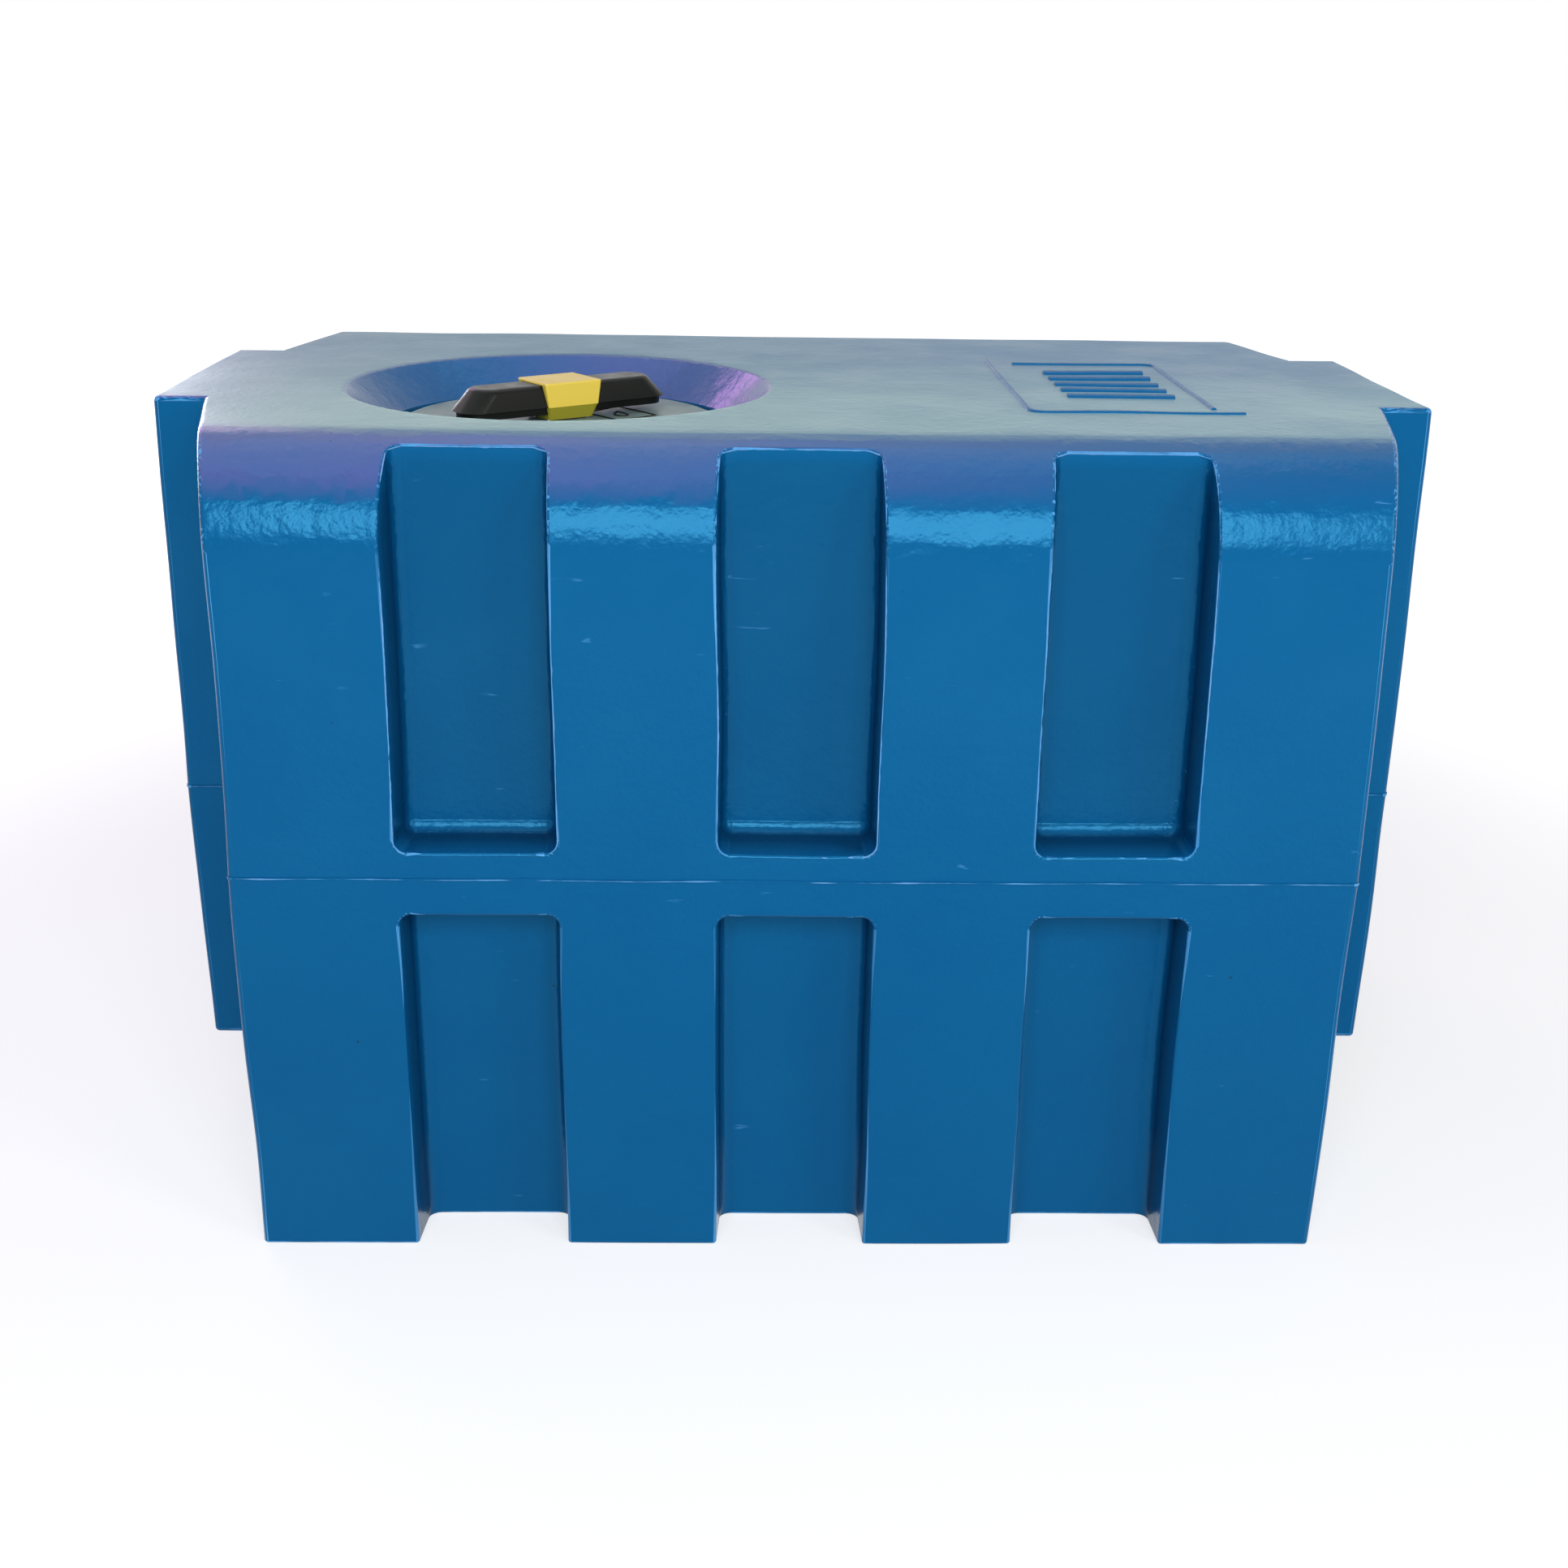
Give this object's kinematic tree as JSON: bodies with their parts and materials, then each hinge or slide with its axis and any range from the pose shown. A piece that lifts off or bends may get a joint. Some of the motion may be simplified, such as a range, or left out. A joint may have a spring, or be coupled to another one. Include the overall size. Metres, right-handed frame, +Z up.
{
  "type": "drinking water tank",
  "caption": "Rectangular rotomoulded polyethylene water tank with stiffening pockets, a wide middle band, and a vented screw lid with a bar handle sunk in a round well.",
  "frame": {"origin": "middle of the footprint, on the ground", "axes": "+X along the tank to the right as seen from the front, +Y from the front to the back, +Z up"},
  "size_m": [1.5024, 1.0024, 0.957],
  "materials": {
    "tank_polyethylene": "rotomoulded blue polyethylene, satin",
    "black_polypropylene": "moulded black polypropylene, semi-gloss",
    "yellow_plastic": "moulded yellow polypropylene, satin",
    "seal_rubber": "black EPDM, matt",
    "white_plastic": "natural white polypropylene",
    "stainless": "stainless steel",
    "brass": "machined brass"
  },
  "bodies": {
    "tank": {"tank_shell": "tank_polyethylene", "drain_insert": "brass"},
    "lid_ring": {"lid_seal": "seal_rubber"},
    "vent_ring": {"vent_seal": "seal_rubber"},
    "lid": {"lid_body": "black_polypropylene", "handle_bar": "black_polypropylene", "hub_cap": "yellow_plastic", "vent_body": "yellow_plastic", "vent_nut": "black_polypropylene", "vent_screen": "stainless", "vent_cage": "white_plastic", "handle_screws": "stainless", "handle_washers": "stainless"},
    "splash_float": {"vent_float": "white_plastic"},
    "drain_ring": {"drain_plug_seal": "seal_rubber"},
    "plug": {"drain_plug": "black_polypropylene"}
  },
  "joints": [
    {"name": "lid_lift_off", "type": "slide", "parent": "tank", "child": "lid_ring", "axis": [0, 0, 1], "range_m": [0, 0.3]},
    {"name": "lid_rise", "type": "slide", "parent": "lid_ring", "child": "vent_ring", "axis": [0, 0, 1], "range_m": [0, 0.018]},
    {"name": "lid_turn", "type": "hinge", "parent": "vent_ring", "child": "lid", "pos_m": [-0.287, -0.075, 0.905], "axis": [0, 0, 1], "range_deg": [0, 540]},
    {"name": "splash_float_rise", "type": "slide", "parent": "lid", "child": "splash_float", "axis": [0, 0, 1], "range_m": [0, 0.005]},
    {"name": "drain_plug_slide", "type": "slide", "parent": "tank", "child": "drain_ring", "axis": [1, 0, 0], "range_m": [0, 0.01616]},
    {"name": "drain_plug_turn", "type": "hinge", "parent": "drain_ring", "child": "plug", "pos_m": [0.69842, 0, 0.062], "axis": [1, 0, 0], "range_deg": [0, 2520]}
  ],
  "couplings": [
    {"joint": "lid_rise", "follows": "lid_turn", "m_per_rad": 0.0019099},
    {"joint": "drain_plug_slide", "follows": "drain_plug_turn", "m_per_rad": 0.00036749}
  ]
}
